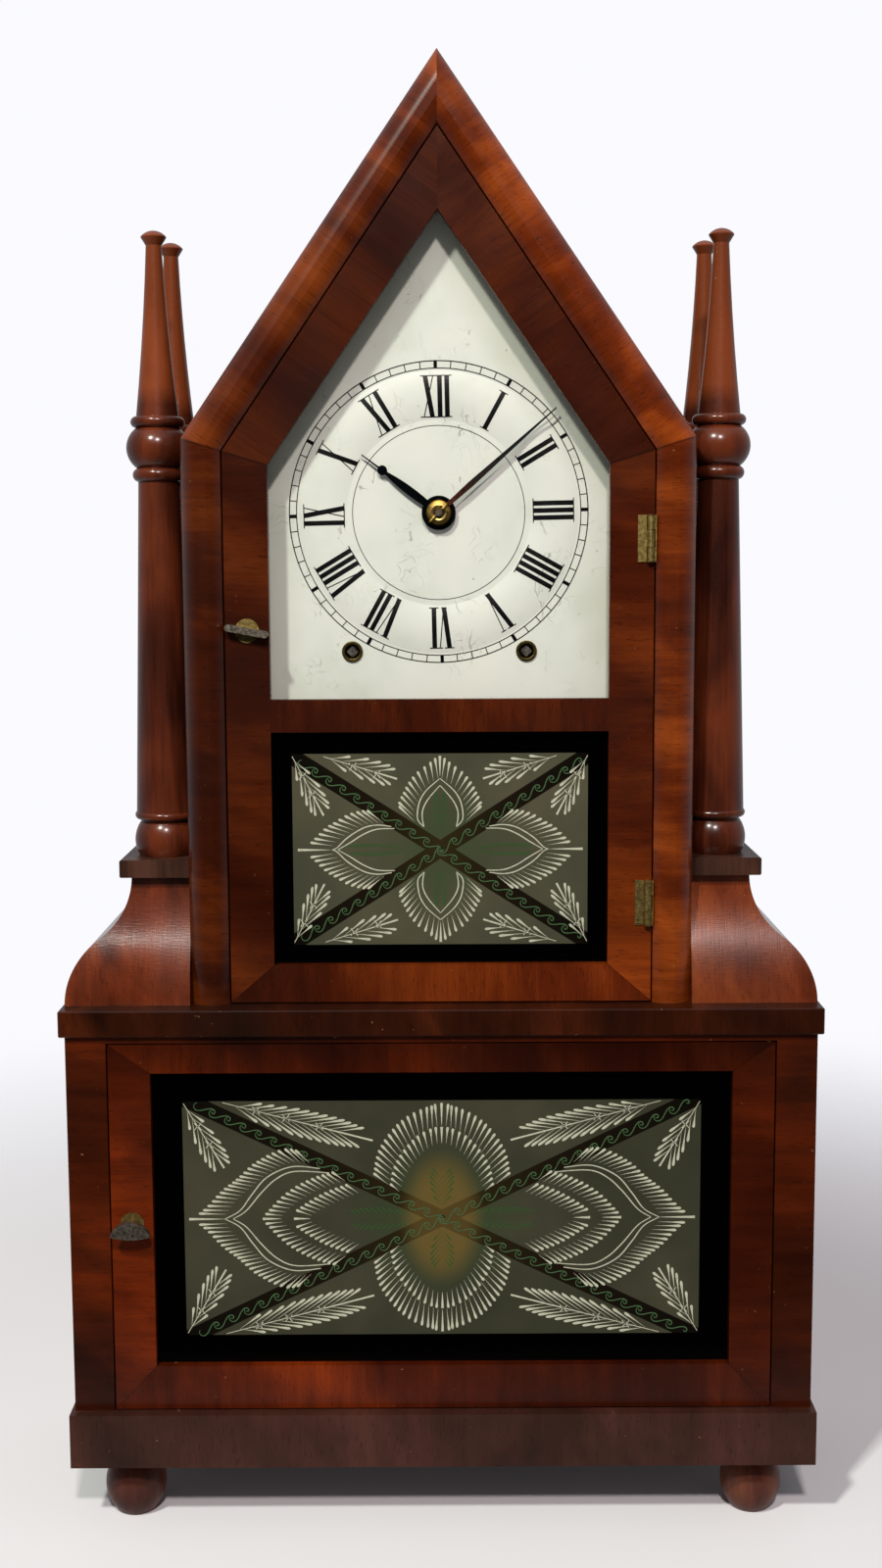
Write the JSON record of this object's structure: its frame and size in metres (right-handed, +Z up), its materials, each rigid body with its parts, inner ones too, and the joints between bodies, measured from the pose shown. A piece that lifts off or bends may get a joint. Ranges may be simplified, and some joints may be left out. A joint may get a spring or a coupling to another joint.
{
  "type": "steeple clock",
  "caption": "Tall wooden mantel clock with a pointed gable, turned corner columns, a glazed dial door over a painted glass panel, and a wide lower case with its own door and spring drive.",
  "frame": {"origin": "on the table under the middle of the clock's own box", "axes": "the dial faces -Y, +X is to the right of someone facing it, +Z is up"},
  "size_m": [0.3424, 0.1216, 0.66],
  "materials": {
    "mahogany": "french polished mahogany veneer, worn at the edges",
    "dark_mahogany": "turned and stained, shellac polish",
    "pine": "sawn softwood, unfinished",
    "clear_glass": "old window glass, slightly uneven",
    "painted_glass": "glass painted on its back",
    "painted_zinc": "hand painted off-white enamel, crazed",
    "brass": "aged brass, dull polish",
    "blued_steel": "blued and oxidised",
    "steel": "turned steel, oiled",
    "spring_steel": "forged spring steel, dark scale",
    "iron": "cast iron, black",
    "gut": "twisted gut cord"
  },
  "bodies": {
    "case": {"feet": "dark_mahogany", "base_frame": "mahogany", "lower_sides": "mahogany", "lower_front_frame": "mahogany", "lower_back": "pine", "waist_shelf": "mahogany", "ogee_wing_left": "mahogany", "ogee_wing_right": "mahogany", "plinths": "dark_mahogany", "column_front_left": "dark_mahogany", "column_front_right": "dark_mahogany", "column_rear_left": "dark_mahogany", "column_rear_right": "dark_mahogany", "upper_shell_left": "mahogany", "upper_shell_right": "mahogany", "upper_back": "pine", "gable_moulding_left": "mahogany", "gable_moulding_right": "mahogany", "upper_hinge_case_leaves": "brass", "dial_plate": "painted_zinc", "winding_grommets": "brass", "front_plate": "brass", "back_plate": "brass", "movement_rails": "pine", "gong": "spring_steel", "leaf_spring": "spring_steel", "spring_saddle": "iron", "pulley_brackets": "iron", "drive_cords": "gut"},
    "upper_door": {"upper_door_frame": "mahogany", "dial_glass": "clear_glass", "upper_tablet": "painted_glass", "upper_hinge_door_leaves": "brass", "upper_latch_plate": "brass"},
    "upper_latch": {"upper_latch_turn": "steel"},
    "lower_door": {"lower_door_frame": "mahogany", "lower_tablet": "painted_glass", "lower_door_pivots": "brass", "lower_latch_plate": "brass"},
    "lower_latch": {"lower_latch_turn": "steel"},
    "centre": {"centre_arbor": "brass", "minute_hand": "blued_steel"},
    "hour": {"hour_wheel": "brass", "hour_hand": "blued_steel"},
    "minute_idler": {"minute_wheel": "brass"},
    "second": {"second_wheel": "brass"},
    "third": {"third_wheel": "brass"},
    "escape": {"escape_wheel": "brass"},
    "time_great": {"time_great_wheel": "brass"},
    "time_winder": {"time_winding_arbor": "steel"},
    "strike_great": {"strike_great_wheel": "brass"},
    "strike_winder": {"strike_winding_arbor": "steel"},
    "pin": {"pin_wheel": "brass"},
    "fly_arbor": {"fly": "brass"},
    "pendulum": {"pendulum_rod": "steel", "pendulum_bob": "brass"},
    "verge_arbor": {"verge": "steel"},
    "strike_hammer": {"hammer": "steel"},
    "time_sheave": {"time_pulley": "dark_mahogany"},
    "strike_sheave": {"strike_pulley": "dark_mahogany"}
  },
  "joints": [
    {"name": "upper_door_hinge", "type": "hinge", "parent": "case", "child": "upper_door", "pos_m": [0.0931, -0.04345, 0.4], "axis": [0, 0, 1], "range_deg": [0, 120]},
    {"name": "upper_latch_turn", "type": "hinge", "parent": "upper_door", "child": "upper_latch", "pos_m": [-0.085, -0.041, 0.4119], "axis": [0, -1, 0], "range_deg": [0, 90]},
    {"name": "lower_door_hinge", "type": "hinge", "parent": "case", "child": "lower_door", "pos_m": [0.1473, -0.05045, 0.14], "axis": [0, 0, 1], "range_deg": [0, 110]},
    {"name": "lower_latch_turn", "type": "hinge", "parent": "lower_door", "child": "lower_latch", "pos_m": [-0.14045, -0.05, 0.1443], "axis": [0, -1, 0], "range_deg": [0, 90]},
    {"name": "centre_spin", "type": "hinge", "parent": "case", "child": "centre", "pos_m": [0, -0.00475, 0.4635], "axis": [0, 1, 0], "continuous": true},
    {"name": "hour_spin", "type": "hinge", "parent": "case", "child": "hour", "pos_m": [0, -0.02675, 0.4635], "axis": [0, 1, 0], "continuous": true},
    {"name": "minute_idler_spin", "type": "hinge", "parent": "case", "child": "minute_idler", "pos_m": [0.0115, -0.02175, 0.44812], "axis": [0, 1, 0], "continuous": true},
    {"name": "second_spin", "type": "hinge", "parent": "case", "child": "second", "pos_m": [0.02281, -0.00475, 0.43829], "axis": [0, 1, 0], "continuous": true},
    {"name": "third_spin", "type": "hinge", "parent": "case", "child": "third", "pos_m": [-0.0204, -0.00475, 0.48383], "axis": [0, 1, 0], "continuous": true},
    {"name": "escape_spin", "type": "hinge", "parent": "case", "child": "escape", "pos_m": [0, -0.00475, 0.49467], "axis": [0, 1, 0], "continuous": true},
    {"name": "time_great_spin", "type": "hinge", "parent": "case", "child": "time_great", "pos_m": [0.0392, -0.01175, 0.4018], "axis": [0, 1, 0], "continuous": true},
    {"name": "time_winding", "type": "hinge", "parent": "time_great", "child": "time_winder", "pos_m": [0.0392, -0.00475, 0.4018], "axis": [0, 1, 0], "continuous": true},
    {"name": "strike_great_spin", "type": "hinge", "parent": "case", "child": "strike_great", "pos_m": [-0.0392, -0.01175, 0.4018], "axis": [0, 1, 0], "continuous": true},
    {"name": "strike_winding", "type": "hinge", "parent": "strike_great", "child": "strike_winder", "pos_m": [-0.0392, -0.00475, 0.4018], "axis": [0, 1, 0], "continuous": true},
    {"name": "pin_spin", "type": "hinge", "parent": "case", "child": "pin", "pos_m": [-0.02281, -0.00475, 0.43829], "axis": [0, 1, 0], "continuous": true},
    {"name": "fly_spin", "type": "hinge", "parent": "case", "child": "fly_arbor", "pos_m": [-0.04014, -0.00475, 0.45119], "axis": [0, 1, 0], "continuous": true},
    {"name": "pendulum_swing", "type": "hinge", "parent": "case", "child": "pendulum", "pos_m": [0, 0.02975, 0.52397], "axis": [0, 1, 0], "range_deg": [-4, 4]},
    {"name": "verge_rock", "type": "hinge", "parent": "case", "child": "verge_arbor", "pos_m": [0, 0.01525, 0.51597], "axis": [0, 1, 0], "range_deg": [-6, 6]},
    {"name": "hammer_lift", "type": "hinge", "parent": "case", "child": "strike_hammer", "pos_m": [-0.05, 0.01525, 0.441], "axis": [0, -1, 0], "range_deg": [0, 12]},
    {"name": "time_sheave_spin", "type": "hinge", "parent": "case", "child": "time_sheave", "pos_m": [0.079, 0.00525, 0.19], "axis": [0, 1, 0], "continuous": true},
    {"name": "strike_sheave_spin", "type": "hinge", "parent": "case", "child": "strike_sheave", "pos_m": [-0.079, 0.00525, 0.19], "axis": [0, 1, 0], "continuous": true}
  ],
  "couplings": [
    {"joint": "hour_spin", "follows": "centre_spin", "ratio": 0.083333},
    {"joint": "minute_idler_spin", "follows": "centre_spin", "ratio": -0.33333},
    {"joint": "second_spin", "follows": "centre_spin", "ratio": -0.13333},
    {"joint": "third_spin", "follows": "centre_spin", "ratio": -8},
    {"joint": "escape_spin", "follows": "centre_spin", "ratio": 80},
    {"joint": "time_great_spin", "follows": "centre_spin", "ratio": 0.014815},
    {"joint": "pin_spin", "follows": "strike_great_spin", "ratio": -9},
    {"joint": "fly_spin", "follows": "strike_great_spin", "ratio": 72},
    {"joint": "verge_rock", "follows": "pendulum_swing", "ratio": 1.25},
    {"joint": "time_sheave_spin", "follows": "time_winding", "ratio": -0.47955},
    {"joint": "strike_sheave_spin", "follows": "strike_winding", "ratio": -0.47955}
  ]
}
